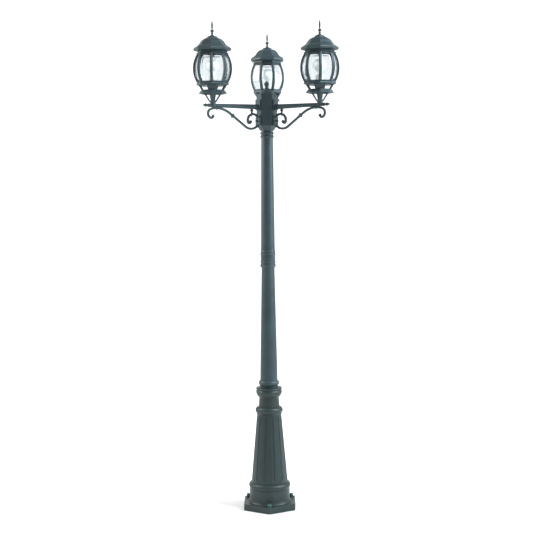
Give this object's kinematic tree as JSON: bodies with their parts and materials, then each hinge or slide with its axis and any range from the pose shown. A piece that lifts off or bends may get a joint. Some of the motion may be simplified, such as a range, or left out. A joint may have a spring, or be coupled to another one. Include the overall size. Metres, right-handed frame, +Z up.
{
  "type": "garden lamp post",
  "caption": "Cast garden lamp post with a fluted base, two tapered poles, scrolled arms and eight-sided lanterns with ogee roofs.",
  "frame": {"origin": "middle of the foot at ground level, on the post's axis and the anchor bolts' circle", "axes": "+Z up along the post; +Y along the rear arm; the bare face of the hub looks along -Y, towards the viewer"},
  "size_m": [0.6684, 0.5961, 2.2872],
  "materials": {
    "paint": "satin verdigris grey-green paint on cast aluminium",
    "fixings": "steel painted to match the castings, a little worn",
    "panes": "clear glass with a bevelled edge",
    "bulb_glass": "frosted white glass",
    "bulb_cap": "drawn",
    "lampholder": "glazed porcelain",
    "socket_brass": "bright",
    "nipples": "yellow zinc plated",
    "cable_jacket": "black jacket",
    "lead_jacket": "heat-proof sleeve",
    "grommet": "moulded",
    "connectors": "moulded"
  },
  "bodies": {
    "post": {"base_casting": "paint", "anchor_nuts": "fixings", "anchor_washers": "fixings", "lower_pole": "paint", "pole_coupling": "paint", "upper_pole": "paint", "neck_collar": "paint", "set_screws": "fixings", "hub": "paint", "flange_screws": "fixings", "scroll_screws": "fixings", "supply_cable": "cable_jacket", "cable_grommet": "grommet", "wire_connectors": "connectors", "arm_leads": "lead_jacket", "lantern_nipples": "nipples", "socket_shells": "socket_brass", "arm_left": "paint", "scroll_left": "paint", "stand_left": "paint", "tray_left": "paint", "cage_left": "paint", "glass_left": "panes", "lampholder_left": "lampholder", "arm_right": "paint", "scroll_right": "paint", "stand_right": "paint", "tray_right": "paint", "cage_right": "paint", "glass_right": "panes", "lampholder_right": "lampholder", "arm_rear": "paint", "scroll_rear": "paint", "stand_rear": "paint", "tray_rear": "paint", "cage_rear": "paint", "glass_rear": "panes", "lampholder_rear": "lampholder"},
    "hub_cap": {"hub_cap": "paint"},
    "hub_finial": {"hub_finial": "paint"},
    "roof_left": {"roof_left": "paint"},
    "finial_left": {"finial_left": "paint"},
    "bulb_left": {"bulb_left": "bulb_glass", "bulb_cap_left": "bulb_cap"},
    "roof_right": {"roof_right": "paint"},
    "finial_right": {"finial_right": "paint"},
    "bulb_right": {"bulb_right": "bulb_glass", "bulb_cap_right": "bulb_cap"},
    "roof_rear": {"roof_rear": "paint"},
    "finial_rear": {"finial_rear": "paint"},
    "bulb_rear": {"bulb_rear": "bulb_glass", "bulb_cap_rear": "bulb_cap"}
  },
  "joints": [
    {"name": "hub_cap_lift", "type": "slide", "parent": "post", "child": "hub_cap", "axis": [0, 0, 1], "range_m": [0, 0.06]},
    {"name": "hub_finial_turn", "type": "hinge", "parent": "hub_cap", "child": "hub_finial", "pos_m": [0, 0, 1.99], "axis": [0, 0, 1], "continuous": true},
    {"name": "roof_left_lift", "type": "slide", "parent": "post", "child": "roof_left", "axis": [0, 0, 1], "range_m": [0, 0.15]},
    {"name": "finial_left_turn", "type": "hinge", "parent": "roof_left", "child": "finial_left", "pos_m": [-0.24422, -0.141, 2.22], "axis": [0, 0, 1], "continuous": true},
    {"name": "bulb_left_turn", "type": "hinge", "parent": "post", "child": "bulb_left", "pos_m": [-0.24422, -0.141, 2.05], "axis": [0, 0, 1], "continuous": true},
    {"name": "roof_right_lift", "type": "slide", "parent": "post", "child": "roof_right", "axis": [0, 0, 1], "range_m": [0, 0.15]},
    {"name": "finial_right_turn", "type": "hinge", "parent": "roof_right", "child": "finial_right", "pos_m": [0.24422, -0.141, 2.22], "axis": [0, 0, 1], "continuous": true},
    {"name": "bulb_right_turn", "type": "hinge", "parent": "post", "child": "bulb_right", "pos_m": [0.24422, -0.141, 2.05], "axis": [0, 0, 1], "continuous": true},
    {"name": "roof_rear_lift", "type": "slide", "parent": "post", "child": "roof_rear", "axis": [0, 0, 1], "range_m": [0, 0.15]},
    {"name": "finial_rear_turn", "type": "hinge", "parent": "roof_rear", "child": "finial_rear", "pos_m": [0, 0.282, 2.22], "axis": [0, 0, 1], "continuous": true},
    {"name": "bulb_rear_turn", "type": "hinge", "parent": "post", "child": "bulb_rear", "pos_m": [0, 0.282, 2.05], "axis": [0, 0, 1], "continuous": true}
  ]
}
